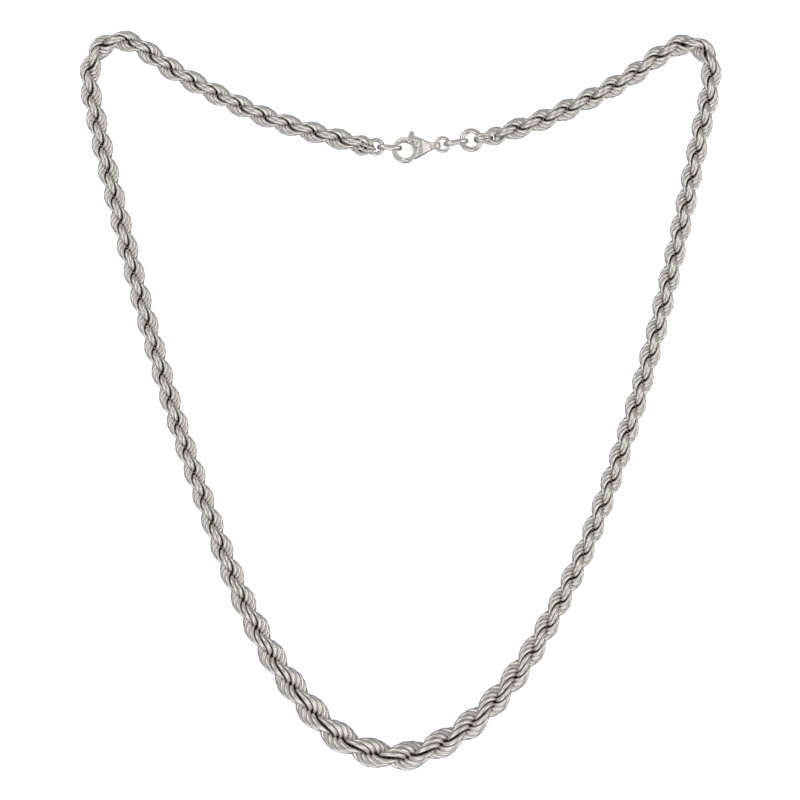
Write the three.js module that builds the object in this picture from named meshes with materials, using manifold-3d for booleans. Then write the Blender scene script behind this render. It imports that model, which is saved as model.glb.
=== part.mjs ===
// A graduated rope-chain necklace, closed by a lobster clasp and laid flat.
// Millimetres. +Z is up and z = 0 is the surface that the chain lies on. +Y points from the
// front of the necklace to its clasp. The origin is below the middle of the loop.
// The rope is a stack of small ring links that stand along its axis, each turned a little
// further to the left than the last, which gives it two lobes that wind round it.
// Here it is a row of lobed sections, about one full turn each, hinged end to end.
import * as THREE from "three";
import { mergeVertices } from "three/addons/utils/BufferGeometryUtils.js";
import Module from "manifold-3d";

const wasm = await Module();
wasm.setup();

// ---------------------------------------------------------------- driving dimensions
const ROPE_RADIUS_BACK = 2.38; // axis of the rope to the top of a lobe, at the back and sides
const ROPE_RADIUS_FRONT = 3.35; // the same, in the middle of the front
const FRONT_SWELL_LENGTH = 150; // length of rope over which it grows and shrinks again
const WAIST_SHARE = 0.65; // the rope's narrow half width, as a share of its wide one
const SECTION_COUNT = 39; // sections of one turn
const SECTION_GAP = 0.3; // free play between two sections

const EYE_RADIUS = 1.83; // clasp: the round opening inside the hook
const HOOK_WIRE = 1.02; // width of the hook in plan
const HOOK_THICKNESS = 1.2; // height of the hook
const CLASP_THICKNESS = 3.4; // height of the clasp over its two cheeks
const NECK_WIDTH = 1.2; // width of the clasp's tail in plan
const TAIL_HOLE_RADIUS = 0.84; // hole in the clasp's tail, for the tail ring
const TAIL_WALL = 0.42; // metal round that hole
const CLASP_REACH = 6.75; // middle of the eye to the middle of the tail hole
const LEVER_WIDTH = 0.76; // trigger: width of its curved arm
const LEVER_THICKNESS = 1.1;
const LEVER_SIDE_GAP = 0.12; // between the trigger and each cheek
const TAB_WIDTH = 1.3; // thumb tab of the trigger
const TAB_STAND_OFF = 1.2; // how far the tab stands out of the clasp
const PIVOT_X = 2.8; // trigger's pin, from the middle of the eye along the clasp
const PIVOT_Y = 1.0;
const PIN_RADIUS = 0.35;
const PIN_GAP = 0.1;
const BOSS_RADIUS = 0.75;
const BOSS_ROOM = 0.45; // clear space between the trigger's boss and the floor of its pocket
const POCKET_LENGTH = 1.1; // from the trigger's boss to the pocket's end wall, behind the spring
const NOSE_GAP = 0.12; // between the tip of the trigger and the nose of the hook
const SPRING_LEAF = 0.18;
const SPRING_HEIGHT = 0.8;

const TAIL_RING_WIRE = 0.78;
const TAIL_RING_RADIUS = 1.5; // to the middle of its wire
const LARGE_RING_WIRE = 1.12;
const LARGE_RING_RADIUS = 2.12;
const LINK_INSIDE = 4.2; // oval connector links: clear length inside
const LINK_HEIGHT = 4.0; // they stand on edge
const LINK_WIRE = 0.72; // thickness in the plane of the link
const LINK_WIDTH = 1.0; // width across it
const END_LINK_WIRE = 0.9; // the rope's two end links
const END_LINK_RADIUS = 1.675;
const BAIL_WIRE = 0.7; // the loops by which the rope holds its end links
const BAIL_RADIUS = 1.15;
const LINK_CLEARANCE = 0.18; // between two linked wires
const HOOK_CLEARANCE = 0.42; // between the hook and its link, which hangs askew in it
const TIP_CLEARANCE = 0.3; // between an end link and the rope's tip

const CLASP_AT = new THREE.Vector2(1.05, 55.7); // middle of the eye
const CLASP_LEAN = 8.6; // degrees, the clasp's tail against +X
const HOOK_SIDE_LEAN = 177.1; // degrees, the hook's link against +X
const HOOK_LINK_AT = 167.5; // degrees, where that link hangs round the eye
const CLASP_LEVEL = 1.8; // height of the clasp's middle plane
const LEFT_LINK_TILT = 18; // degrees, the left end link out of the flat
const MIDDLE_OF_LAY = new THREE.Vector3(0.14, -0.37, 0); // the loop's middle among these points

// The way the chain lies, from its end by the clasp's tail round the front to the hook.
const LAY = [
  [34.5, 63.5],
  [50.5, 71.5],
  [60, 78],
  [65, 79.5],
  [69, 76.5],
  [69.5, 71],
  [67, 58.5],
  [61.5, 32.5],
  [55, 6.5],
  [47, -19],
  [38.5, -40],
  [25, -63],
  [12, -75.5],
  [-0.5, -80],
  [-13, -76],
  [-25, -63],
  [-34, -47.5],
  [-47, -14],
  [-55, 11.5],
  [-62, 37.5],
  [-68, 62.5],
  [-69.5, 73],
  [-66.5, 79],
  [-61, 80],
  [-50, 73],
  [-30, 63],
];

// ---------------------------------------------------------------- materials
const silver = (name, roughness) =>
  new THREE.MeshStandardMaterial({ name, color: 0xcfcac6, metalness: 1, roughness });
const steel = (name) =>
  new THREE.MeshStandardMaterial({ name, color: 0x9a9a9c, metalness: 1, roughness: 0.35 });

// ---------------------------------------------------------------- solids
const UP = new THREE.Vector3(0, 0, 1);
const radians = THREE.MathUtils.degToRad;

function solid(geometry) {
  geometry.deleteAttribute("normal");
  geometry.deleteAttribute("uv");
  const merged = mergeVertices(geometry, 1e-4);
  return new wasm.Manifold(
    new wasm.Mesh({
      numProp: 3,
      vertProperties: merged.attributes.position.array,
      triVerts: new Uint32Array(merged.index.array),
    }),
  );
}

function geometryOf(made) {
  const mesh = made.getMesh();
  const geometry = new THREE.BufferGeometry();
  geometry.setAttribute("position", new THREE.BufferAttribute(mesh.vertProperties, 3));
  geometry.setIndex(new THREE.BufferAttribute(mesh.triVerts, 1));
  return geometry;
}

// A flat shape in plan as a plate of a given height, its middle plane at z = 0.
function plate(shape, height, curveSegments = 10) {
  const geometry = new THREE.ExtrudeGeometry(shape, {
    depth: height,
    bevelEnabled: false,
    curveSegments,
  });
  return geometry.translate(0, 0, -height / 2);
}

function disc(x, y, radius, height, segments = 16) {
  const shape = new THREE.Shape();
  for (let i = 0; i < segments; i += 1) {
    const turn = (2 * Math.PI * i) / segments;
    shape[i ? "lineTo" : "moveTo"](x + radius * Math.cos(turn), y + radius * Math.sin(turn));
  }
  return plate(shape, height);
}

// A sector of a flat ring about the origin, between two angles in degrees.
function sector(inner, outer, from, to, height) {
  const shape = new THREE.Shape();
  shape.absarc(0, 0, outer, radians(from), radians(to), false);
  shape.absarc(0, 0, inner, radians(to), radians(from), true);
  return plate(shape, height, 12);
}

function polygon(points, height) {
  return plate(new THREE.Shape(points.map(([x, y]) => new THREE.Vector2(x, y))), height);
}

function addMesh(parent, name, geometry, material) {
  const mesh = new THREE.Mesh(geometry, material);
  mesh.name = name;
  parent.add(mesh);
  return mesh;
}

// ---------------------------------------------------------------- clasp
// The clasp's own frame: the middle of the eye is the origin, and +X points to its tail.
const HOOK_RADIUS = EYE_RADIUS + HOOK_WIRE;
const TAIL_EYE_RADIUS = TAIL_HOLE_RADIUS + TAIL_WALL;
const LEVER_REACH = Math.hypot(PIVOT_X - 0.35, PIVOT_Y + EYE_RADIUS + HOOK_WIRE / 2);
const CHEEK_EDGE = EYE_RADIUS + LEVER_WIDTH + LEVER_SIDE_GAP; // cheeks start behind the lever
const SHOULDER_X = PIVOT_X + BOSS_RADIUS + 0.5;
const POCKET_END = PIVOT_X + BOSS_RADIUS + POCKET_LENGTH;
const ARM_FOOT_TURN = 47; // degrees round the eye, where the thumb tab starts on the arm
const TAB_TOP_TURN = 61; // degrees round the eye to the top of the tab
const ARM_FOOT = polar(EYE_RADIUS + LEVER_WIDTH / 2, ARM_FOOT_TURN);
const TAB_TOP = polar(HOOK_RADIUS + TAB_STAND_OFF + 0.5, TAB_TOP_TURN);

function polar(radius, degrees) {
  return [radius * Math.cos(radians(degrees)), radius * Math.sin(radians(degrees))];
}

// A bar of a given width from one point to another, with a round far end.
function bar(from, to, width, height) {
  const turn = Math.atan2(to[1] - from[1], to[0] - from[0]);
  const length = Math.hypot(to[0] - from[0], to[1] - from[1]);
  const shape = new THREE.Shape();
  shape.moveTo(0, -width / 2);
  shape.lineTo(length - width / 2, -width / 2);
  shape.absarc(length - width / 2, 0, width / 2, -Math.PI / 2, Math.PI / 2, false);
  shape.lineTo(0, width / 2);
  return plate(shape, height, 6).rotateZ(turn).translate(from[0], from[1], 0);
}

// The outline in plan: the hook's circle, drawn out in two edges to the tail.
function claspPlan() {
  const leave = Math.acos((HOOK_RADIUS - NECK_WIDTH / 2) / (CLASP_REACH - TAIL_EYE_RADIUS));
  const shape = new THREE.Shape();
  shape.absarc(0, 0, HOOK_RADIUS, leave, -leave, false);
  shape.lineTo(CLASP_REACH - TAIL_EYE_RADIUS, -NECK_WIDTH / 2);
  shape.lineTo(CLASP_REACH + TAIL_EYE_RADIUS, -NECK_WIDTH / 2);
  shape.lineTo(CLASP_REACH + TAIL_EYE_RADIUS, NECK_WIDTH / 2);
  shape.lineTo(CLASP_REACH - TAIL_EYE_RADIUS, NECK_WIDTH / 2);
  shape.lineTo(PIVOT_X, HOOK_RADIUS - 0.45);
  return plate(shape, CLASP_THICKNESS + 1, 28);
}

// The outline seen from the side: low at the hook, full at the cheeks, round at the tail.
function claspSide() {
  const low = HOOK_THICKNESS / 2;
  const full = CLASP_THICKNESS / 2;
  const neck = NECK_WIDTH / 2;
  const tail = Math.asin(neck / TAIL_EYE_RADIUS);
  const shape = new THREE.Shape();
  shape.moveTo(-HOOK_RADIUS - 1, -low);
  shape.lineTo(-EYE_RADIUS / 2, -low);
  shape.lineTo(EYE_RADIUS / 2, -full);
  shape.lineTo(SHOULDER_X, -full);
  shape.absarc(CLASP_REACH, 0, TAIL_EYE_RADIUS, tail - Math.PI, Math.PI - tail, false);
  shape.lineTo(SHOULDER_X, full);
  shape.lineTo(EYE_RADIUS / 2, full);
  shape.lineTo(-EYE_RADIUS / 2, low);
  shape.lineTo(-HOOK_RADIUS - 1, low);
  return plate(shape, 2 * HOOK_RADIUS + 1, 14).rotateX(Math.PI / 2);
}

function claspBody() {
  const tall = CLASP_THICKNESS + 2;
  const slot = LEVER_THICKNESS + 2 * LEVER_SIDE_GAP;
  const room = LEVER_SIDE_GAP + TAB_WIDTH / 2;
  const mouth = solid(sector(EYE_RADIUS - 0.3, HOOK_RADIUS + 0.3, -105, -48, tall)).intersect(
    solid(disc(PIVOT_X, PIVOT_Y, LEVER_REACH + NOSE_GAP, tall, 48)),
  );
  const swing = polygon(
    [
      [ARM_FOOT[0] - room, ARM_FOOT[1] - 0.4],
      [TAB_TOP[0] - room - 0.05, TAB_TOP[1]],
      [POCKET_END, TAB_TOP[1]],
      [POCKET_END, PIVOT_Y - BOSS_RADIUS - BOSS_ROOM],
      [PIVOT_X - 0.4, PIVOT_Y - BOSS_RADIUS - BOSS_ROOM],
    ],
    slot,
  );
  return solid(claspPlan())
    .intersect(solid(claspSide()))
    .subtract(solid(disc(0, 0, EYE_RADIUS, tall, 32)))
    .subtract(solid(sector(EYE_RADIUS - 0.3, CHEEK_EDGE, -50, 44, tall)))
    .subtract(mouth)
    .subtract(solid(swing))
    .subtract(solid(disc(PIVOT_X, PIVOT_Y, PIN_RADIUS + PIN_GAP, tall, 12)))
    .subtract(
      solid(disc(CLASP_REACH, 0, TAIL_HOLE_RADIUS, NECK_WIDTH + 1).rotateX(Math.PI / 2)),
    );
}

function claspTrigger() {
  const arm = solid(sector(EYE_RADIUS, EYE_RADIUS + LEVER_WIDTH, -60, 50, LEVER_THICKNESS));
  const tip = solid(sector(EYE_RADIUS, HOOK_RADIUS, -104, -53, LEVER_THICKNESS)).intersect(
    solid(disc(PIVOT_X, PIVOT_Y, LEVER_REACH, LEVER_THICKNESS + 1, 48)),
  );
  return arm
    .add(tip)
    .add(solid(disc(PIVOT_X, PIVOT_Y, BOSS_RADIUS, LEVER_THICKNESS)))
    .add(solid(bar(ARM_FOOT, TAB_TOP, TAB_WIDTH, LEVER_THICKNESS)))
    .subtract(solid(disc(PIVOT_X, PIVOT_Y, PIN_RADIUS + PIN_GAP, LEVER_THICKNESS + 1, 12)));
}

// A leaf bent to a U, which stands in the pocket between the trigger's boss and its end wall.
function claspSpring() {
  const near = PIVOT_X + BOSS_RADIUS + 0.15;
  const far = POCKET_END - 0.12;
  const foot = PIVOT_Y - 0.75;
  const head = PIVOT_Y + 0.25;
  const bend = (far - near) / 2;
  const shape = new THREE.Shape();
  shape.moveTo(near, head);
  shape.absarc(near + bend, foot, bend, Math.PI, 2 * Math.PI, false);
  shape.lineTo(far, head);
  shape.lineTo(far - SPRING_LEAF, head);
  shape.absarc(near + bend, foot, bend - SPRING_LEAF, 0, Math.PI, true);
  shape.lineTo(near + SPRING_LEAF, head);
  return plate(shape, SPRING_HEIGHT, 8);
}

// ---------------------------------------------------------------- rings and links
// A wire ring in plan. Its halves move apart to make an oval, and its wire may be wider.
function wireLink(length, height, wire, width, tubular = 20) {
  const ring = new THREE.TorusGeometry((height - wire) / 2, wire / 2, 8, tubular);
  const stretch = (length - height) / 2;
  const places = ring.attributes.position;
  for (let i = 0; i < places.count; i += 1) {
    const x = places.getX(i);
    const side = Math.abs(x) < 1e-6 ? 0 : Math.sign(x);
    places.setXYZ(i, x + side * stretch, places.getY(i), (places.getZ(i) * width) / wire);
  }
  return ring;
}

const roundLink = (radius, wire, tubular) =>
  wireLink(2 * radius + wire, 2 * radius + wire, wire, wire, tubular);

// ---------------------------------------------------------------- where the hardware goes
// Distances along the line of the clasp, from the middle of the eye.
const TAIL_RING_HOLD = CLASP_REACH + TAIL_HOLE_RADIUS - TAIL_RING_WIRE / 2 - LINK_CLEARANCE;
const TAIL_RING_MID = TAIL_RING_HOLD + TAIL_RING_RADIUS;
const TAIL_LINK_HOLD = TAIL_RING_MID + TAIL_RING_RADIUS;
const TAIL_LINK_MID = TAIL_LINK_HOLD - TAIL_RING_WIRE / 2 - LINK_CLEARANCE + LINK_INSIDE / 2;
const LARGE_RING_HOLD =
  TAIL_LINK_MID + LINK_INSIDE / 2 - LINK_CLEARANCE - LARGE_RING_WIRE / 2;
const LARGE_RING_MID = LARGE_RING_HOLD + LARGE_RING_RADIUS;
const RIGHT_LINK_HOLD = LARGE_RING_MID + LARGE_RING_RADIUS;
const RIGHT_LINK_MID =
  RIGHT_LINK_HOLD - LARGE_RING_WIRE / 2 - LINK_CLEARANCE + END_LINK_RADIUS - END_LINK_WIRE / 2;
const ROPE_START = RIGHT_LINK_MID + END_LINK_RADIUS + END_LINK_WIRE / 2 + TIP_CLEARANCE;
const RIGHT_BAIL_HOLD = RIGHT_LINK_MID + END_LINK_RADIUS;
// Distances along the line of the hook's link, from the middle of the hook's wire.
const HOOK_LINK_MID = LINK_INSIDE / 2 - HOOK_CLEARANCE - HOOK_WIRE / 2;
const LEFT_LINK_HOLD = HOOK_LINK_MID + LINK_INSIDE / 2 - LINK_CLEARANCE - END_LINK_WIRE / 2;
const LEFT_LINK_MID = LEFT_LINK_HOLD + END_LINK_RADIUS;
const LEFT_BAIL_HOLD = LEFT_LINK_MID + END_LINK_RADIUS;
const ROPE_END = LEFT_BAIL_HOLD + END_LINK_WIRE / 2 + TIP_CLEARANCE;
// A bail's middle, from the wire that it holds.
const BAIL_BACK = BAIL_RADIUS - (BAIL_WIRE + END_LINK_WIRE) / 2 - LINK_CLEARANCE;
const LINK_LEVEL = LINK_HEIGHT / 2 + 0.02;
const END_LINK_LEVEL = END_LINK_RADIUS + END_LINK_WIRE / 2 + 0.02;

const EYE = new THREE.Vector3(CLASP_AT.x, CLASP_AT.y, CLASP_LEVEL);
const TAILWARD = new THREE.Vector3(1, 0, 0).applyAxisAngle(UP, radians(CLASP_LEAN));
const HOOKWARD = new THREE.Vector3(1, 0, 0).applyAxisAngle(UP, radians(HOOK_SIDE_LEAN));
const HOOK_POINT = new THREE.Vector3(1, 0, 0)
  .applyAxisAngle(UP, radians(HOOK_LINK_AT))
  .multiplyScalar(EYE_RADIUS + HOOK_WIRE / 2)
  .add(EYE);
const onTail = (distance) => EYE.clone().addScaledVector(TAILWARD, distance);
const onHook = (distance) => HOOK_POINT.clone().addScaledVector(HOOKWARD, distance);

// ---------------------------------------------------------------- the rope's course
const first = onTail(ROPE_START);
const last = onHook(ROPE_END);
const lay = new THREE.CatmullRomCurve3(
  [[first.x, first.y], ...LAY, [last.x, last.y]].map(([x, y]) => new THREE.Vector3(x, y, 0)),
  false,
  "centripetal",
);
lay.arcLengthDivisions = 2000;
const ROPE_LENGTH = lay.getLength();
const FRONT_AT = ROPE_LENGTH / 2;

function swell(distance) {
  const off = Math.min(1, Math.abs(distance - FRONT_AT) / (FRONT_SWELL_LENGTH / 2));
  return Math.cos((off * Math.PI) / 2) ** 2;
}

const radiusAt = (distance) =>
  ROPE_RADIUS_BACK + (ROPE_RADIUS_FRONT - ROPE_RADIUS_BACK) * swell(distance);

// The lobes rest on the surface, so the axis lies one lobe radius above it.
function placeAt(distance) {
  return lay.getPointAt(distance / ROPE_LENGTH).setZ(radiusAt(distance));
}

// Turns of twist from the start. A turn's length grows with the rope's radius.
const TWIST_STEPS = 2000;
const twist = [0];
for (let i = 0; i < TWIST_STEPS; i += 1) {
  const middle = ((i + 0.5) / TWIST_STEPS) * ROPE_LENGTH;
  twist.push(twist[i] + 1 / radiusAt(middle));
}
const turnsAt = (distance) => {
  const step = (distance / ROPE_LENGTH) * TWIST_STEPS;
  const low = Math.min(Math.floor(step), TWIST_STEPS - 1);
  const value = THREE.MathUtils.lerp(twist[low], twist[low + 1], step - low);
  return (value / twist[TWIST_STEPS]) * SECTION_COUNT;
};

function distanceOfTurn(turns) {
  let low = 0;
  let high = ROPE_LENGTH;
  for (let i = 0; i < 40; i += 1) {
    const middle = (low + high) / 2;
    if (turnsAt(middle) < turns) low = middle;
    else high = middle;
  }
  return (low + high) / 2;
}

// Sections meet a quarter turn past a whole one, where the rope looks narrow from above.
const jointDistance = (index) => {
  if (index === 0) return 0;
  if (index === SECTION_COUNT) return ROPE_LENGTH;
  return distanceOfTurn(index + 0.25);
};

// The rope's outline across: two lobes and a waist, of radius 1 over the lobes.
function lobedOutline() {
  const points = [];
  for (let i = 0; i < 8; i += 1) {
    const turn = (Math.PI * i) / 4;
    const radius = (1 + WAIST_SHARE) / 2 + ((1 - WAIST_SHARE) / 2) * Math.cos(2 * turn);
    points.push(new THREE.Vector2(radius * Math.cos(turn), radius * Math.sin(turn)));
  }
  return new THREE.Shape(points);
}

// One section between two distances: a straight lobed bar, twisted, domed at both ends and
// bent along the rope's course.
function ropeSection(from, to) {
  const steps = 12;
  const bar = new THREE.ExtrudeGeometry(lobedOutline(), { depth: 1, steps, bevelEnabled: false });
  const places = bar.attributes.position;
  const point = new THREE.Vector3();
  const across = new THREE.Vector3();
  for (let i = 0; i < places.count; i += 1) {
    const share = (1 - Math.cos(Math.PI * places.getZ(i))) / 2;
    const distance = from + (to - from) * share;
    const radius = radiusAt(distance);
    const dome = 0.8 * radius;
    const fromTip = Math.min(distance - from, to - distance) + 0.05 * dome;
    const narrow = fromTip < dome ? Math.sqrt(1 - (1 - fromTip / dome) ** 2) : 1;
    const turn = -2 * Math.PI * turnsAt(distance); // a left-hand twist
    const x = places.getX(i) * radius * narrow;
    const y = places.getY(i) * radius * narrow;
    across.crossVectors(UP, lay.getTangentAt(distance / ROPE_LENGTH)).normalize();
    point.copy(placeAt(distance));
    point.addScaledVector(across, x * Math.cos(turn) - y * Math.sin(turn));
    point.addScaledVector(UP, x * Math.sin(turn) + y * Math.cos(turn));
    places.setXYZ(i, point.x, point.y, point.z);
  }
  return bar;
}

// The loop of wire at a tip of the rope, turned to stand on edge or to lie flat.
function bail(middle, heading, onEdge) {
  return roundLink(BAIL_RADIUS, BAIL_WIRE, 16)
    .rotateX(onEdge ? Math.PI / 2 : 0)
    .rotateZ(radians(heading))
    .translate(middle.x, middle.y, ROPE_RADIUS_BACK);
}

// ---------------------------------------------------------------- assembly
const necklace = new THREE.Group();
necklace.position.copy(MIDDLE_OF_LAY).negate();

function buildClasp() {
  const clasp = new THREE.Group();
  clasp.position.copy(EYE);
  clasp.rotation.z = radians(CLASP_LEAN);
  necklace.add(clasp);
  addMesh(clasp, "clasp_body", geometryOf(claspBody()), silver("cast silver", 0.22));
  const trigger = geometryOf(claspTrigger()).translate(-PIVOT_X, -PIVOT_Y, 0);
  addMesh(clasp, "clasp_trigger", trigger, silver("cast silver", 0.22)).position.set(
    PIVOT_X,
    PIVOT_Y,
    0,
  );
  const pin = disc(PIVOT_X, PIVOT_Y, PIN_RADIUS, CLASP_THICKNESS - 0.04, 12);
  addMesh(clasp, "clasp_pivot_pin", pin, silver("drawn wire", 0.2));
  addMesh(clasp, "clasp_spring", claspSpring(), steel("spring steel"));
}

// A link's mesh stands at the wire that holds it, with its middle some way further on.
function addLink(name, geometry, hold, toMiddle, lean, level) {
  geometry.rotateZ(radians(lean));
  geometry.translate(
    toMiddle * Math.cos(radians(lean)),
    toMiddle * Math.sin(radians(lean)),
    level - hold.z,
  );
  addMesh(necklace, name, geometry, silver("drawn wire", 0.2)).position.copy(hold);
}

function buildTailHardware() {
  const oval = wireLink(LINK_INSIDE + 2 * LINK_WIRE, LINK_HEIGHT, LINK_WIRE, LINK_WIDTH);
  addLink(
    "tail_jump_ring",
    roundLink(TAIL_RING_RADIUS, TAIL_RING_WIRE),
    onTail(TAIL_RING_HOLD),
    TAIL_RING_MID - TAIL_RING_HOLD,
    CLASP_LEAN,
    CLASP_LEVEL,
  );
  addLink(
    "tail_connector_link",
    oval.rotateX(Math.PI / 2),
    onTail(TAIL_LINK_HOLD),
    TAIL_LINK_MID - TAIL_LINK_HOLD,
    CLASP_LEAN,
    LINK_LEVEL,
  );
  addLink(
    "large_end_ring",
    roundLink(LARGE_RING_RADIUS, LARGE_RING_WIRE, 24),
    onTail(LARGE_RING_HOLD),
    LARGE_RING_MID - LARGE_RING_HOLD,
    CLASP_LEAN,
    CLASP_LEVEL,
  );
  addLink(
    "rope_end_link_right",
    roundLink(END_LINK_RADIUS, END_LINK_WIRE).rotateX(Math.PI / 2),
    onTail(RIGHT_LINK_HOLD),
    RIGHT_LINK_MID - RIGHT_LINK_HOLD,
    CLASP_LEAN,
    END_LINK_LEVEL,
  );
}

function buildHookHardware() {
  addLink(
    "rope_end_link_left",
    roundLink(END_LINK_RADIUS, END_LINK_WIRE).rotateX(radians(LEFT_LINK_TILT)),
    onHook(LEFT_BAIL_HOLD),
    LEFT_LINK_MID - LEFT_BAIL_HOLD,
    HOOK_SIDE_LEAN,
    ROPE_RADIUS_BACK - 0.15,
  );
  const oval = wireLink(LINK_INSIDE + 2 * LINK_WIRE, LINK_HEIGHT, LINK_WIRE, LINK_WIDTH);
  addLink(
    "hook_connector_link",
    oval.rotateX(Math.PI / 2),
    onHook(LEFT_LINK_HOLD),
    HOOK_LINK_MID - LEFT_LINK_HOLD,
    HOOK_SIDE_LEAN,
    LINK_LEVEL,
  );
}

function buildRope() {
  for (let index = 0; index < SECTION_COUNT; index += 1) {
    const isFirst = index === 0;
    const isLast = index === SECTION_COUNT - 1;
    const from = jointDistance(index) + (isFirst ? 0 : SECTION_GAP / 2);
    const to = jointDistance(index + 1) - (isLast ? 0 : SECTION_GAP / 2);
    let geometry = ropeSection(from, to);
    if (isFirst) {
      const middle = onTail(RIGHT_BAIL_HOLD + BAIL_BACK);
      geometry = geometryOf(solid(geometry).add(solid(bail(middle, CLASP_LEAN, false))));
    }
    if (isLast) {
      const middle = onHook(LEFT_BAIL_HOLD + BAIL_BACK);
      geometry = geometryOf(solid(geometry).add(solid(bail(middle, HOOK_SIDE_LEAN, true))));
    }
    const hinge = isFirst ? onTail(RIGHT_BAIL_HOLD) : placeAt(jointDistance(index));
    geometry.translate(-hinge.x, -hinge.y, -hinge.z);
    const name = `rope_section_${String(index + 1).padStart(2, "0")}`;
    addMesh(necklace, name, geometry, silver("polished silver rope", 0.25)).position.copy(hinge);
  }
}

buildClasp();
buildTailHardware();
buildRope();
buildHookHardware();

export default necklace;
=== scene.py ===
"""A graduated silver rope-chain necklace with a lobster clasp, laid flat on a pale surface.

Metres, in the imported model's frame: +Z is up, z = 0 is the surface that the chain lies on, and
+Y points from the front of the necklace to its clasp.
"""

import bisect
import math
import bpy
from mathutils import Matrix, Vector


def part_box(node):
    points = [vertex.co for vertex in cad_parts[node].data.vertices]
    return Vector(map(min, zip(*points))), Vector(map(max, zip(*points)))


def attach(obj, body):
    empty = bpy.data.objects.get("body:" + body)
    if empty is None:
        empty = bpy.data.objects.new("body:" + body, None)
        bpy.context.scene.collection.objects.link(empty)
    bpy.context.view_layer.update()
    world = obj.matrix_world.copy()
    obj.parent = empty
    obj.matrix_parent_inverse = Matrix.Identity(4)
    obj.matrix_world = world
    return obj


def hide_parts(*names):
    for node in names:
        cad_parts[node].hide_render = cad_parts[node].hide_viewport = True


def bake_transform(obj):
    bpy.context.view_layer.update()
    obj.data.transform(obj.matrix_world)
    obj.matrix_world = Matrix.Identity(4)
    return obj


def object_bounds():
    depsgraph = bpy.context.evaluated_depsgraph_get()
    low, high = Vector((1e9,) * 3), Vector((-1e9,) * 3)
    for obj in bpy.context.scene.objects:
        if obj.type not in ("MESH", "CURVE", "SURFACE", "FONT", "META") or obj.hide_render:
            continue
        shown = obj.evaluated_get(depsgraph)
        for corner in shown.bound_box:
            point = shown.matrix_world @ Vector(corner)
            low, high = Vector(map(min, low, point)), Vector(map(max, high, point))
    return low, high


bl_info = {
    "name": "Rope Chain Necklace",
    "version": (1, 0, 0),
    "blender": (4, 5, 0),
    "location": "3D View > Sidebar > Necklace",
    "description": "Makes a graduated rope chain with its end links, rings and lobster clasp",
    "category": "Add Mesh",
}

import bmesh
import bpy
from bpy.props import FloatProperty, FloatVectorProperty, PointerProperty
from bpy.types import Operator, Panel, PropertyGroup
from mathutils import Matrix, Vector
from mathutils.geometry import interpolate_bezier

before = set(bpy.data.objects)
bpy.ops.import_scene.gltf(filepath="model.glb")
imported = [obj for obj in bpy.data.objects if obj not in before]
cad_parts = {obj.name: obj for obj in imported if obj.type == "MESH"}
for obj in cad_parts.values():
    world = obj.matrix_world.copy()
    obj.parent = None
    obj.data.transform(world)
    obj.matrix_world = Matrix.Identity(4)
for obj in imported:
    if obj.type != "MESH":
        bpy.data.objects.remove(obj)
FRAME_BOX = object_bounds()

MM = 0.001
UP = Vector((0, 0, 1))
FULL_TURN = 2 * math.pi
SAME_PLACE = 1e-6  # points nearer to each other than this are one

# ---------------------------------------------------------------- how the chain lies
# Points of the rope's axis, from its end by the clasp's tail round the front to the hook.
LAY = [
    (0.020884, 0.058700),
    (0.0345, 0.0635),
    (0.0505, 0.0715),
    (0.0600, 0.0780),
    (0.0650, 0.0795),
    (0.0690, 0.0765),
    (0.0695, 0.0710),
    (0.0670, 0.0585),
    (0.0615, 0.0325),
    (0.0550, 0.0065),
    (0.0470, -0.0190),
    (0.0385, -0.0400),
    (0.0250, -0.0630),
    (0.0120, -0.0755),
    (-0.0005, -0.0800),
    (-0.0130, -0.0760),
    (-0.0250, -0.0630),
    (-0.0340, -0.0475),
    (-0.0470, -0.0140),
    (-0.0550, 0.0115),
    (-0.0620, 0.0375),
    (-0.0680, 0.0625),
    (-0.0695, 0.0730),
    (-0.0665, 0.0790),
    (-0.0610, 0.0800),
    (-0.0500, 0.0730),
    (-0.0300, 0.0630),
    (-0.007966, 0.056547),
]
MIDDLE_OF_LAY = Vector((0.00014, -0.00037, 0))  # the loop's middle among these points
COURSE_STEPS = 60  # straight steps between two points of the lay

# ---------------------------------------------------------------- how the rope is linked
SECTION_COUNT = 39  # hinged sections of one turn of twist
SECTION_MIDDLE = 0.75  # turns of twist to the middle of the first section
FIRST_PIECE_TURNS = 0.62  # the rigid pieces at the rope's ends are a little shorter
LAST_PIECE_TURNS = 0.37
FIRST_NARROW = 0.25  # turns of twist to where the rope first looks narrow from above
# Each half turn of the rope has seven ring links. These are their turns about the axis, in
# degrees from where the rope looks narrow. Wider steps leave the crevices between the strands.
LINKS_AT_BACK = (-9, 12, 45, 68, 91, 114, 137)
LINKS_AT_FRONT = (-18, 18, 42, 66, 90, 114, 138)
TIP_ROOM = 0.4  # bare length at each end of the rope, for the tips, over its back radius
# The smaller links in which the rope ends, and which hold its end links: distance from the end,
# turns and outer radius. By the hook the last stands up, because the end link there lies flat.
RIGHT_TIP = (
    (-1.4 * MM, -0.08, 1.3 * MM),
    (-0.85 * MM, -0.05, 1.55 * MM),
    (-0.3 * MM, 0.0, 1.85 * MM),
    (0.25 * MM, 0.02, 2.1 * MM),
    (0.65 * MM, 0.07, 2.25 * MM),
)
LEFT_TIP = (
    (-0.9 * MM, 0.75, 1.8 * MM),
    (-0.3 * MM, 0.64, 2.0 * MM),
    (0.3 * MM, 0.53, 2.2 * MM),
    (0.65 * MM, 0.47, 2.3 * MM),
)

# ---------------------------------------------------------------- how the clasp end lies
CLASP_LEAN = math.radians(8.6)  # the clasp's tail against +X
CLASP_EYE = Vector((0.00091, 0.05607, 0.0018))  # middle of the round opening
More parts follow.
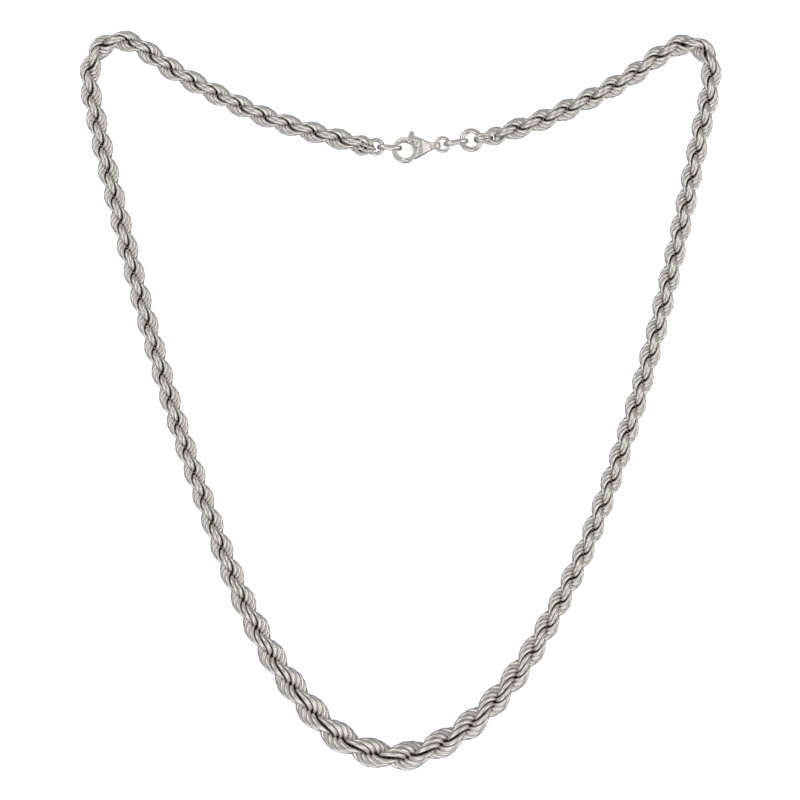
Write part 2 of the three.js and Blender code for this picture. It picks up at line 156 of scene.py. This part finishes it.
# The clasp's outline tapers from its hook to its neck and then runs level. The casting's taper
# goes on to the tail: distance from the middle of the eye and half width, as built and as cast.
HOOK_SHOULDER = (1.17 * MM, 2.6 * MM)
NECK_AS_BUILT = (5.49 * MM, 0.6 * MM)
NECK_AS_CAST = (5.49 * MM, 0.96 * MM)
TAIL_END = 7.4 * MM
HOOK_SIDE_LEAN = math.radians(177.1)  # the hook's link against +X
LEFT_LINK_TILT = math.radians(18)  # the left end link out of the flat
FAN_OFFSETS = (-0.12 * MM, 0.0, 0.12 * MM)  # the right end links along the chain
FAN_LEANS = tuple(math.radians(a) for a in (66, 90, 114))  # and out of the flat
WIRE_STEPS = 48  # straight steps round a ring or a link
WIRE_SIDES = 12  # sides of its wire
RIVET_STEPS = 24  # straight steps round the rivet
# The rivet's outline from the middle of its face to its shank: how far out over the radius of
# its head, and how high over its half height.
RIVET_OUTLINE = ((0, 0.95), (0.5, 0.93), (0.9, 0.88), (1, 0.82), (0.57, 0.74), (0.57, 0))

# ---------------------------------------------------------------- how the stage is lit
CAMERA_ASIDE = (-0.2 * MM, 0.1 * MM)  # from straight over the middle of the necklace
FLOOR_REACH = 1.5  # from the middle of the surface to its edges
FLOOR_GLOW = 0.75  # strength of the light through the surface
# Name, place and colour. None stands over the camera, so that the faces which look up stay
# darker than the edges.
SOFTBOXES = (
    ("softbox_left", (-0.75, 0.5, 0.8), (1, 1, 1)),
    ("softbox_right", (0.85, -0.1, 0.6), (1, 0.98, 0.96)),
    ("softbox_front", (-0.2, -0.95, 0.6), (0.98, 0.99, 1)),
)
ROOM_COLOUR = (0.9, 0.9, 0.92, 1)
ROOM_GLOW = (0.14, 0.46)  # strength near the ground and overhead
ROOM_SHADE = (-0.6, 0.3)  # the heights, as sines, between which the one turns to the other

# ---------------------------------------------------------------- how the silver has worn, and the painted shade in its hollows
# The depth in the rope, 0 on its outside and 1 on its axis, at which the painted shade between
# the links begins and is full.
PAINTED_SHADE_DEPTHS = (0.5, 0.84)
SCRATCH_DEPTH = 0.02 * MM  # depth of the fine wear in the silver


def linear_colour(code):
    """Turns an sRGB hex colour to linear RGB."""
    shares = [int(code[i : i + 2], 16) / 255 for i in (1, 3, 5)]
    return tuple(s / 12.92 if s <= 0.04045 else ((s + 0.055) / 1.055) ** 2.4 for s in shares)


def length_of(name, description, default):
    return FloatProperty(
        name=name, description=description, default=default, unit="LENGTH", precision=5
    )


def colour_of(name, description, code):
    return FloatVectorProperty(
        name=name, description=description, default=linear_colour(code), subtype="COLOR"
    )


class NecklaceRopeSettings(PropertyGroup):
    back_radius: length_of("Back radius", "Axis to lobe at the back and sides", 2.38 * MM)
    front_radius: length_of("Front radius", "Axis to lobe in the middle of the front", 3.35 * MM)
    swell_length: length_of("Swell", "Length over which the rope grows and shrinks", 0.150)
    wire_share: FloatProperty(
        name="Wire share",
        description="Width of a link's wire over the link's radius",
        default=0.32,
    )
    wire_depth: FloatProperty(
        name="Wire depth",
        description="Depth of the wire, inwards, over its width",
        default=1.14,
    )


class NecklaceHardwareSettings(PropertyGroup):
    tail_ring_wire: length_of("Tail ring wire", "Thickness of the tail ring's wire", 0.78 * MM)
    tail_ring_radius: length_of("Tail ring radius", "To the middle of its wire", 1.5 * MM)
    large_ring_wire: length_of("Large ring wire", "Thickness of the large ring's wire", 1.12 * MM)
    large_ring_radius: length_of("Large ring radius", "To the middle of its wire", 2.12 * MM)
    oval_inside: length_of("Oval link inside", "Clear length of a connector link", 4.2 * MM)
    oval_height: length_of("Oval link height", "Outer height of a connector link", 4.0 * MM)
    oval_wire: length_of("Oval link wire", "Thickness in the link's plane", 0.72 * MM)
    oval_width: length_of("Oval link width", "Width across the link's plane", 1.0 * MM)
    end_link_wire: length_of("End link wire", "Thickness of the left end link's wire", 0.9 * MM)
    fan_wire: length_of("Fan wire", "Thickness of the right end links' wires", 0.6 * MM)
    end_link_radius: length_of("End link radius", "To the middle of its wire", 1.675 * MM)
    ring_cut: length_of("Ring cut", "Saw cut where a jump ring's ends meet", 0.05 * MM)
    rivet_head: length_of("Rivet head", "Radius of the head of the trigger's rivet", 0.62 * MM)
    cast_grain: length_of("Cast grain", "Edge of the cells that round the castings", 0.09 * MM)


class NecklaceFinishSettings(PropertyGroup):
    silver: colour_of("Silver", "Sterling silver", "#ece8e2")
    # Painted shade: the brown-black painted into the rope's hollows between its links.
    painted_shade: colour_of("Tarnish", "Brown-black that stays between the links", "#3a322c")
    steel: colour_of("Steel", "Spring steel", "#8e8e90")
    surface: colour_of("Surface", "Opal acrylic that the chain lies on", "#f4f4f3")


class NecklaceStageSettings(PropertyGroup):
    view_width: length_of("View width", "Width of the surface that the camera sees", 0.1788)
    camera_height: length_of("Camera height", "Height of the camera", 0.62)
    softbox_width: length_of("Softbox width", "Side of each square softbox", 1.0)
    softbox_power: FloatProperty(
        name="Softbox power", description="Power of each softbox", default=3.3, unit="POWER"
    )


# ---------------------------------------------------------------- the rope's course
class Course:
    """The rope's axis in plan, by the distance along it."""

    def __init__(self, anchors):
        # A centripetal Catmull-Rom curve, as one Bezier curve from each point to the next.
        ends = [2 * anchors[0] - anchors[1], *anchors, 2 * anchors[-1] - anchors[-2]]
        self.points = [anchors[0]]
        for before, here, there, after in zip(ends, ends[1:], ends[2:], ends[3:]):
            steps = ((before, here), (here, there), (there, after))
            ago, now, then = (math.sqrt((b - a).length) for a, b in steps)
            span = there - here
            leave = now * ((here - before) / ago - (there - before) / (ago + now) + span / now)
            arrive = now * (span / now - (after - here) / (now + then) + (after - there) / then)
            self.points += interpolate_bezier(
                here, here + leave / 3, there - arrive / 3, there, COURSE_STEPS + 1
            )[1:]
        self.distances = [0.0]
        for a, b in zip(self.points, self.points[1:]):
            self.distances.append(self.distances[-1] + (b - a).length)
        self.length = self.distances[-1]

    def step_at(self, distance):
        index = bisect.bisect_right(self.distances, distance) - 1
        return min(max(index, 0), len(self.points) - 2)

    def point(self, distance):
        i = self.step_at(distance)
        share = (distance - self.distances[i]) / (self.distances[i + 1] - self.distances[i])
        return self.points[i].lerp(self.points[i + 1], share)

    def heading(self, distance):
        i = self.step_at(distance)
        return (self.points[i + 1] - self.points[i]).normalized()


class Rope:
    """Where the rope's axis runs, how wide the rope is there, and how far it has twisted."""

    def __init__(self, settings):
        self.settings = settings
        self.course = Course([Vector((x, y, 0)) - MIDDLE_OF_LAY for x, y in LAY])
        self.length = self.course.length
        self.turns = [0.0]
        self.step = self.length / (COURSE_STEPS * len(LAY))
        for i in range(COURSE_STEPS * len(LAY)):
            self.turns.append(self.turns[-1] + self.step / self.radius((i + 0.5) * self.step))
        share = SECTION_COUNT / self.turns[-1]
        self.turns = [t * share for t in self.turns]

    def swell(self, distance):
        """0 along the back and sides, 1 in the middle of the front."""
        off = min(1, abs(distance - self.length / 2) / (self.settings.swell_length / 2))
        return math.cos(off * math.pi / 2) ** 2

    def radius(self, distance):
        grown = self.settings.front_radius - self.settings.back_radius
        return self.settings.back_radius + self.swell(distance) * grown

    def distance_of_turn(self, turns):
        i = min(max(bisect.bisect_right(self.turns, turns) - 1, 0), len(self.turns) - 2)
        return (i + (turns - self.turns[i]) / (self.turns[i + 1] - self.turns[i])) * self.step

    def link_places(self):
        """Each ring link's distance along the rope, its turns of twist and its outer radius."""
        places = list(RIGHT_TIP)
        places += [(self.length - inwards, turns, radius) for inwards, turns, radius in LEFT_TIP]
        room = TIP_ROOM * self.settings.back_radius
        for half_turn in range(2 * SECTION_COUNT):
            narrow = half_turn / 2 + FIRST_NARROW
            swell = self.swell(self.distance_of_turn(narrow))
            for at_back, at_front in zip(LINKS_AT_BACK, LINKS_AT_FRONT):
                turns = narrow + (at_back + (at_front - at_back) * swell) / 360
                distance = self.distance_of_turn(turns)
                if room < distance < self.length - room:
                    places.append((distance, turns, self.radius(distance)))
        return places

    def frame_at(self, distance, turns, radius):
        """X along the axis, Y to the top of a lobe, and a unit as long as a link's radius."""
        along = self.course.heading(distance)
        side = UP.cross(along)
        angle = -FULL_TURN * turns
        lobe = side * math.cos(angle) + UP * math.sin(angle)
        turned = Matrix((along, lobe, along.cross(lobe))).transposed().to_4x4()
        place = self.course.point(distance) + UP * self.radius(distance)
        return Matrix.Translation(place) @ turned @ Matrix.Scale(radius, 4)


# ---------------------------------------------------------------- materials
def add_node(tree, kind, values=None, links=None, **settings):
    """Adds a shader node with its sockets' values, the sockets that feed it and settings."""
    node = tree.nodes.new(kind)
    for name, value in settings.items():
        setattr(node, name, value)
    for socket, value in (values or {}).items():
        node.inputs[socket].default_value = value
    for socket, source in (links or {}).items():
        tree.links.new(source, node.inputs[socket])
    return node


def new_material(name):
    """The material of this name, with its empty node tree if it is new."""
    found = bpy.data.materials.get(name)
    if found:
        return found, None
    material = bpy.data.materials.new(name)
    material.use_nodes = True
    material.node_tree.nodes.clear()
    return material, material.node_tree


def rgba(colour):
    return (*colour, 1)


def finish_silver(name, finish, roughness, scratch_size, bump, with_painted_shade=False):
    """Sterling silver: bright, with fine wear whose patches mirror more and less sharply."""
    material, tree = new_material(name)
    if not tree:
        return material
    place = add_node(tree, "ShaderNodeTexCoord").outputs["Object"]
    wear = add_node(
        tree,
        "ShaderNodeTexNoise",
        {"Scale": 1 / scratch_size, "Detail": 4.0, "Roughness": 0.6},
        {"Vector": place},
    )
    gloss = add_node(
        tree,
        "ShaderNodeMapRange",
        {
            "From Min": 0.3,
            "From Max": 0.7,
            "To Min": roughness * 0.7,
            "To Max": roughness * 1.5,
        },
        {"Value": wear.outputs["Fac"]},
    )
    relief = add_node(
        tree,
        "ShaderNodeBump",
        {"Strength": bump, "Distance": SCRATCH_DEPTH},
        {"Height": wear.outputs["Fac"]},
    )
    shader = add_node(
        tree,
        "ShaderNodeBsdfPrincipled",
        {"Metallic": 1.0, "Base Color": rgba(finish.silver)},
        {"Roughness": gloss.outputs["Result"], "Normal": relief.outputs["Normal"]},
    )
    if with_painted_shade:
        # Painted shade: the colour turns from bright silver to brown-black deeper in the rope, in
        # the hollows between its links.
        depth = add_node(tree, "ShaderNodeAttribute", attribute_name="depth")
        painted_shade_mask = add_node(
            tree,
            "ShaderNodeMapRange",
            {"From Min": PAINTED_SHADE_DEPTHS[0], "From Max": PAINTED_SHADE_DEPTHS[1]},
            {"Value": depth.outputs["Fac"]},
            interpolation_type="SMOOTHSTEP",
        )
        blend = add_node(
            tree,
            "ShaderNodeMix",
            {"A": rgba(finish.silver), "B": rgba(finish.painted_shade)},
            {"Factor": painted_shade_mask.outputs["Result"]},
            data_type="RGBA",
        )
        tree.links.new(blend.outputs["Result"], shader.inputs["Base Color"])
    add_node(tree, "ShaderNodeOutputMaterial", links={"Surface": shader.outputs["BSDF"]})
    return material


def rope_silver(finish):
    """Polished as a whole: each link has a satin gleam along its wire."""
    return finish_silver(
        "polished_rope_silver",
        finish,
        roughness=0.32,
        scratch_size=0.5 * MM,
        bump=0.15,
        # painted shade in the hollows between the links
        with_painted_shade=True,
    )


def wire_silver(finish):
    """Drawn wire, which is the smoothest: narrow bright lines along the rings."""
    return finish_silver(
        "drawn_wire_silver", finish, roughness=0.25, scratch_size=0.4 * MM, bump=0.2
    )


def cast_silver(finish):
    """Cast and tumbled: softly uneven, with broad dull reflections."""
    return finish_silver(
        "cast_tumbled_silver", finish, roughness=0.34, scratch_size=0.7 * MM, bump=0.3
    )


def spring_steel(finish):
    """Rolled spring steel: greyer than silver, with a dull and slightly uneven gleam."""
    material, tree = new_material("rolled_spring_steel")
    if not tree:
        return material
    place = add_node(tree, "ShaderNodeTexCoord").outputs["Object"]
    wear = add_node(
        tree,
        "ShaderNodeTexNoise",
        {"Scale": 1 / (0.15 * MM), "Detail": 3.0},
        {"Vector": place},
    )
    gloss = add_node(
        tree,
        "ShaderNodeMapRange",
        {"To Min": 0.25, "To Max": 0.45},
        {"Value": wear.outputs["Fac"]},
    )
    shader = add_node(
        tree,
        "ShaderNodeBsdfPrincipled",
        {"Metallic": 1.0, "Base Color": rgba(finish.steel)},
        {"Roughness": gloss.outputs["Result"]},
    )
    add_node(tree, "ShaderNodeOutputMaterial", links={"Surface": shader.outputs["BSDF"]})
    return material


def opal_acrylic(finish):
    """The diffusing top of a light table: an even white glow, so that little shadow shows."""
    material, tree = new_material("opal_acrylic")
    if not tree:
        return material
    shader = add_node(
        tree,
        "ShaderNodeBsdfPrincipled",
        {
            "Base Color": rgba(finish.surface),
            "Roughness": 0.8,
            "Emission Color": rgba(finish.surface),
            "Emission Strength": FLOOR_GLOW,
        },
    )
    add_node(tree, "ShaderNodeOutputMaterial", links={"Surface": shader.outputs["BSDF"]})
    return material


# ---------------------------------------------------------------- mesh helpers
def new_piece(name, bm, material, levels=1):
    """Makes a smooth-shaded object of a bmesh, and frees the bmesh."""
    mesh = bpy.data.meshes.new(name)
    bmesh.ops.recalc_face_normals(bm, faces=bm.faces)
    bm.to_mesh(mesh)
    bm.free()
    mesh.shade_smooth()
    mesh.materials.append(material)
    piece = bpy.data.objects.new(name, mesh)
    bpy.context.scene.collection.objects.link(piece)
    if levels:
        smooth = piece.modifiers.new("rounding", "SUBSURF")
        smooth.levels = smooth.render_levels = levels
    return piece


def seat(piece, body, slot, *nodes):
    """The piece rides on the body and stands for the nodes, which it hides. The slot is not used.
    """
    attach(piece, body)
    if nodes:
        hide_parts(*nodes)


def spin_ring(bm, radius, wire, around, sides, cut=0.0):
    """A ring of round wire about the origin, flat in XY, with a saw cut in a jump ring."""
    upright = Matrix.Translation((radius, 0, 0)) @ Matrix.Rotation(math.pi / 2, 4, "X")
    before = len(bm.verts)
    section = bmesh.ops.create_circle(bm, segments=sides, radius=wire / 2, matrix=upright)
    corners = section["verts"]
    edges = dict.fromkeys(e for corner in corners for e in corner.link_edges)
    bmesh.ops.spin(
        bm,
        geom=[*corners, *edges],
        cent=(0, 0, 0),
        axis=UP,
        angle=FULL_TURN - cut / radius,
        steps=around,
        use_merge=not cut,
        use_duplicate=False,
    )
    if cut:
        ends = [e for e in bm.edges if e.is_boundary]
        bmesh.ops.edgeloop_fill(bm, edges=ends)
    return list(bm.verts)[before:]


def middle_of(node):
    low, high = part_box(node)
    return (low + high) / 2


# ---------------------------------------------------------------- the rope
def ring_link(width, depth):
    """One link of the rope, for a rope of radius 1 along X: a ring that lies in XY."""
    bm = bmesh.new()
    around, sides = 12, 6
    # Subdivision draws a closed cage of n corners in to this share of its radius.
    pull = {n: (2 + math.cos(FULL_TURN / n)) / 3 for n in (around, sides)}
    spin_ring(bm, (1 - depth / 2) / pull[around], depth / pull[sides], around, sides)
    flatten = Matrix.Scale(width / depth, 4, UP)
    bmesh.ops.transform(bm, matrix=flatten, verts=bm.verts)
    # The depth towards the rope's axis, which the rope's material turns into painted shade
    # between the links.
    layer = bm.verts.layers.float.new("depth")
    for vert in bm.verts:
        vert[layer] = 1 - min(1, math.hypot(vert.co.y, vert.co.z))
    mesh = bpy.data.meshes.new("ring_link_pattern")
    bm.to_mesh(mesh)
    bm.free()
    return mesh


class NECKLACE_OT_rope(Operator):
    """Lays the rope: ring links along its axis, each turned a little further than the last"""

    bl_idname = "necklace.rope"
    bl_label = "Rope"

    def execute(self, context):
        settings = context.scene.necklace_rope
        rope = Rope(settings)
        material = rope_silver(context.scene.necklace_finish)
        pattern = ring_link(settings.wire_share, settings.wire_share * settings.wire_depth)
        # A piece runs from the middle of one section to the middle of the next.
        middles = [rope.distance_of_turn(i + SECTION_MIDDLE) for i in range(SECTION_COUNT)]
        middles[0] = rope.distance_of_turn(FIRST_PIECE_TURNS)
        middles[-1] = rope.distance_of_turn(SECTION_COUNT - LAST_PIECE_TURNS)
        pieces = [bmesh.new() for _ in range(SECTION_COUNT + 1)]
        for distance, turns, radius in rope.link_places():
            bm = pieces[bisect.bisect_right(middles, distance)]
            before = len(bm.verts)
            bm.from_mesh(pattern)
            bm.verts.ensure_lookup_table()
            bmesh.ops.transform(
                bm, matrix=rope.frame_at(distance, turns, radius), verts=bm.verts[before:]
            )
        bpy.data.meshes.remove(pattern)
        for number, bm in enumerate(pieces):
            piece = new_piece(f"rope_links_{number:02d}", bm, material)
            nearest = min(max(number, 1), SECTION_COUNT)
            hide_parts(f"rope_section_{nearest:02d}")
            if number in (0, SECTION_COUNT):
                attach(piece, f"rope_section_{nearest:02d}")
                continue
            start, end = (
                rope.course.point(distance) + UP * rope.radius(distance)
                for distance in middles[number - 1 : number + 1]
            )
            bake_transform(piece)
        return {"FINISHED"}


class NECKLACE_OT_rings(Operator):
    """Makes the jump rings and the rope's two end links"""

    bl_idname = "necklace.rings"
    bl_label = "Rings and end links"

    def round_links(self, node, radius, wire, turns, material, cut=0.0):
        """One ring of wire for each matrix in turns, all about the node's middle."""
        bm = bmesh.new()
        for turned in turns:
            verts = spin_ring(bm, radius, wire, WIRE_STEPS, WIRE_SIDES, cut)
            place = Matrix.Translation(middle_of(node)) @ turned
            bmesh.ops.transform(bm, matrix=place, verts=verts)
        seat(new_piece(f"{node}_wire", bm, material), node, "ring_silver", node)

    def execute(self, context):
        sizes = context.scene.necklace_hardware
        silver = wire_silver(context.scene.necklace_finish)
        tailward = Matrix.Rotation(CLASP_LEAN, 4, "Z")
        hookward = Matrix.Rotation(HOOK_SIDE_LEAN, 4, "Z")
        cut_turned = tailward @ Matrix.Rotation(math.pi, 4, "Z")  # under the link that it holds
        for node, radius, wire in (
            ("tail_jump_ring", sizes.tail_ring_radius, sizes.tail_ring_wire),
            ("large_end_ring", sizes.large_ring_radius, sizes.large_ring_wire),
        ):
            self.round_links(node, radius, wire, [cut_turned], silver, sizes.ring_cut)
        # By the clasp's tail three thin links stand in a fan, as the rope's own links do.
        fan = [
            tailward @ Matrix.Translation((along, 0, 0)) @ Matrix.Rotation(lean, 4, "X")
            for along, lean in zip(FAN_OFFSETS, FAN_LEANS)
        ]
        radius = sizes.end_link_radius
        self.round_links("rope_end_link_right", radius, sizes.fan_wire, fan, silver)
        tilted = hookward @ Matrix.Rotation(LEFT_LINK_TILT, 4, "X")
        self.round_links("rope_end_link_left", radius, sizes.end_link_wire, [tilted], silver)
        return {"FINISHED"}


class NECKLACE_OT_oval_links(Operator):
    """Makes the two oval connector links, which stand on edge"""

    bl_idname = "necklace.oval_links"
    bl_label = "Oval links"

    def execute(self, context):
        sizes = context.scene.necklace_hardware
        silver = wire_silver(context.scene.necklace_finish)
        stretch = (sizes.oval_inside + 2 * sizes.oval_wire - sizes.oval_height) / 2
        for node, lean in (
            ("tail_connector_link", CLASP_LEAN),
            ("hook_connector_link", HOOK_SIDE_LEAN),
        ):
            bm = bmesh.new()
            radius = (sizes.oval_height - sizes.oval_wire) / 2
            spin_ring(bm, radius, sizes.oval_wire, WIRE_STEPS, WIRE_SIDES)
            widen = Matrix.Scale(sizes.oval_width / sizes.oval_wire, 4, UP)
            bmesh.ops.transform(bm, matrix=widen, verts=bm.verts)
            for side in (-1, 1):
                half = [v for v in bm.verts if v.co.x * side > SAME_PLACE]
                bmesh.ops.translate(bm, vec=(side * stretch, 0, 0), verts=half)
            turned = Matrix.Rotation(lean, 4, "Z") @ Matrix.Rotation(math.pi / 2, 4, "X")
            place = Matrix.Translation(middle_of(node)) @ turned
            bmesh.ops.transform(bm, matrix=place, verts=bm.verts)
            seat(new_piece(f"{node}_wire", bm, silver), node, "ring_silver", node)
        return {"FINISHED"}


class NECKLACE_OT_clasp(Operator):
    """Rounds the clasp's castings, rivets its trigger and finishes its spring"""

    bl_idname = "necklace.clasp"
    bl_label = "Lobster clasp"

    def cast(self, node, grain, material, passes, doming, regain, taper=False):
        """The node's shape with its edges rounded off, as tumbling leaves a casting.

        It is rebuilt from cells of the grain's size and smoothed in passes. The doming passes act
        on its heights alone, and the regain moves its surface back out.
        """
        bm = bmesh.new()
        bm.from_mesh(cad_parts[node].data)
        bmesh.ops.remove_doubles(bm, verts=bm.verts, dist=SAME_PLACE)
        if taper:
            self.draw_out(bm)
        piece = new_piece(f"{node}_casting", bm, material, levels=0)
        remesh = piece.modifiers.new("cells", "REMESH")
        remesh.mode = "VOXEL"
        remesh.voxel_size = grain
        remesh.use_smooth_shade = True
        tumble = piece.modifiers.new("tumbling", "SMOOTH")
        tumble.iterations = passes
        dome = piece.modifiers.new("doming", "SMOOTH")  # softens the faces, not the outline
        dome.use_x = dome.use_y = False
        dome.iterations = doming
        swell = piece.modifiers.new("regained_size", "DISPLACE")
        swell.strength = regain
        swell.mid_level = 0
        bpy.context.view_layer.update()
        evaluated = piece.evaluated_get(bpy.context.evaluated_depsgraph_get())
        mesh = bpy.data.meshes.new_from_object(evaluated)
        piece.modifiers.clear()
        piece.data = mesh
        mesh.shade_smooth()
        seat(piece, node, "clasp_silver", node)

    def draw_out(self, bm):
        """Widens the clasp's neck, so that its body runs out to the tail in one taper."""
        own = Matrix.Translation(CLASP_EYE) @ Matrix.Rotation(CLASP_LEAN, 4, "Z")
        back = own.inverted()
        gain = NECK_AS_CAST[1] / NECK_AS_BUILT[1] - 1
        for vert in bm.verts:
            place = back @ vert.co
            if HOOK_SHOULDER[0] < place.x < NECK_AS_BUILT[0]:
                share = (place.x - HOOK_SHOULDER[0]) / (NECK_AS_BUILT[0] - HOOK_SHOULDER[0])
                built, cast = (
                    HOOK_SHOULDER[1] + share * (neck[1] - HOOK_SHOULDER[1])
                    for neck in (NECK_AS_BUILT, NECK_AS_CAST)
                )
                place.y *= cast / built
            elif NECK_AS_BUILT[0] <= place.x < TAIL_END:
                left = (TAIL_END - place.x) / (TAIL_END - NECK_AS_BUILT[0])
                place.y *= 1 + gain * left**2
            vert.co = own @ place

    def rivet(self, sizes, material):
        """The trigger's pin, spread to a low domed head on each cheek."""
        low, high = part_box("clasp_pivot_pin")
        bm = bmesh.new()
        height = (high.z - low.z) / 2
        half = [(r * sizes.rivet_head, z * height) for r, z in RIVET_OUTLINE]
        half += [(r, -z) for r, z in reversed(half[:-1])]
        points = [bm.verts.new((r, 0, z)) for r, z in half]
        edges = [bm.edges.new(pair) for pair in zip(points, points[1:])]
        bmesh.ops.spin(
            bm,
            geom=points + edges,
            cent=(0, 0, 0),
            axis=UP,
            angle=FULL_TURN,
            steps=RIVET_STEPS,
            use_merge=True,
            use_duplicate=False,
        )
        bmesh.ops.remove_doubles(bm, verts=bm.verts, dist=SAME_PLACE)
        bmesh.ops.translate(bm, vec=(low + high) / 2, verts=bm.verts)
        piece = new_piece("clasp_pivot_rivet", bm, material)
        seat(piece, "clasp_body", "clasp_silver", "clasp_pivot_pin")

    def execute(self, context):
        sizes = context.scene.necklace_hardware
        finish = context.scene.necklace_finish
        silver = cast_silver(finish)
        grain = sizes.cast_grain
        fine_grain = 0.6 * grain  # the trigger is thinner than the body
        self.cast(
            "clasp_body", grain, silver, passes=14, doming=50, regain=0.04 * MM, taper=True
        )
        self.cast("clasp_trigger", fine_grain, silver, passes=8, doming=30, regain=0.02 * MM)
        self.rivet(sizes, silver)
        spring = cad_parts["clasp_spring"].data.materials
        spring.clear()
        spring.append(spring_steel(finish))
        return {"FINISHED"}


# ---------------------------------------------------------------- stage
class NECKLACE_OT_stage(Operator):
    """Sets the pale surface, the soft lamps and the camera that looks straight down"""

    bl_idname = "necklace.stage"
    bl_label = "Stage"

    def camera(self, stage):
        data = bpy.data.cameras.new("camera")
        low, high = FRAME_BOX
        middle = (Vector(low) + Vector(high)) / 2
        half_angle = math.atan(stage.view_width / 2 / (stage.camera_height - middle.z))
        data.angle = 2 * half_angle
        camera = bpy.data.objects.new("camera", data)
        aside, ahead = CAMERA_ASIDE
        camera.location = (middle.x + aside, middle.y + ahead, stage.camera_height)
        bpy.context.scene.collection.objects.link(camera)
        bpy.context.scene.camera = camera

    def floor(self, finish):
        bm = bmesh.new()
        bmesh.ops.create_grid(bm, x_segments=2, y_segments=2, size=FLOOR_REACH)
        floor = new_piece("pale_surface", bm, opal_acrylic(finish), levels=0)
        floor.visible_glossy = False  # the silver mirrors the room, so its outline stays grey

    def softbox(self, name, place, colour, stage):
        data = bpy.data.lights.new(name, "AREA")
        data.size = stage.softbox_width
        data.energy = stage.softbox_power
        data.color = colour
        lamp = bpy.data.objects.new(name, data)
        lamp.location = place
        lamp.rotation_euler = (-Vector(place)).to_track_quat("-Z", "Y").to_euler()
        bpy.context.scene.collection.objects.link(lamp)

    def room(self):
        """The dim walls round the table, which the silver mirrors."""
        world = bpy.data.worlds.new("studio")
        bpy.context.scene.world = world
        world.use_nodes = True
        tree = world.node_tree
        tree.nodes.clear()
        place = add_node(tree, "ShaderNodeTexCoord").outputs["Generated"]
        height = add_node(tree, "ShaderNodeSeparateXYZ", links={"Vector": place}).outputs["Z"]
        walls = add_node(
            tree,
            "ShaderNodeMapRange",
            {
                "From Min": ROOM_SHADE[0],
                "From Max": ROOM_SHADE[1],
                "To Min": ROOM_GLOW[0],
                "To Max": ROOM_GLOW[1],
            },
            {"Value": height},
        )
        sky = add_node(
            tree,
            "ShaderNodeBackground",
            {"Color": ROOM_COLOUR},
            {"Strength": walls.outputs["Result"]},
        )
        add_node(tree, "ShaderNodeOutputWorld", links={"Surface": sky.outputs["Background"]})

    def execute(self, context):
        stage = context.scene.necklace_stage
        self.camera(stage)
        self.floor(context.scene.necklace_finish)
        for name, place, colour in SOFTBOXES:
            self.softbox(name, place, colour, stage)
        self.room()
        context.scene.view_settings.view_transform = "Standard"
        return {"FINISHED"}


class NECKLACE_PT_panel(Panel):
    """Lists the necklace's pieces and their sizes"""

    bl_idname = "NECKLACE_PT_panel"
    bl_label = "Rope chain necklace"
    bl_space_type = "VIEW_3D"
    bl_region_type = "UI"
    bl_category = "Necklace"

    def draw(self, context):
        for operator in OPERATORS:
            self.layout.operator(operator.bl_idname)
        for group in SETTINGS:
            box = self.layout.box()
            settings = getattr(context.scene, group)
            for name in SETTINGS[group].__annotations__:
                box.prop(settings, name)


OPERATORS = (
    NECKLACE_OT_stage,
    NECKLACE_OT_rope,
    NECKLACE_OT_rings,
    NECKLACE_OT_oval_links,
    NECKLACE_OT_clasp,
)
SETTINGS = {
    "necklace_rope": NecklaceRopeSettings,
    "necklace_hardware": NecklaceHardwareSettings,
    "necklace_finish": NecklaceFinishSettings,
    "necklace_stage": NecklaceStageSettings,
}
CLASSES = (*SETTINGS.values(), *OPERATORS, NECKLACE_PT_panel)


def register():
    for made in CLASSES:
        bpy.utils.register_class(made)
    for name, group in SETTINGS.items():
        setattr(bpy.types.Scene, name, PointerProperty(type=group))


def unregister():
    for name in SETTINGS:
        delattr(bpy.types.Scene, name)
    for made in reversed(CLASSES):
        bpy.utils.unregister_class(made)


def main():
    register()
    bpy.ops.necklace.stage()
    bpy.ops.necklace.rope()
    bpy.ops.necklace.rings()
    bpy.ops.necklace.oval_links()
    bpy.ops.necklace.clasp()


if __name__ == "__main__":
    main()
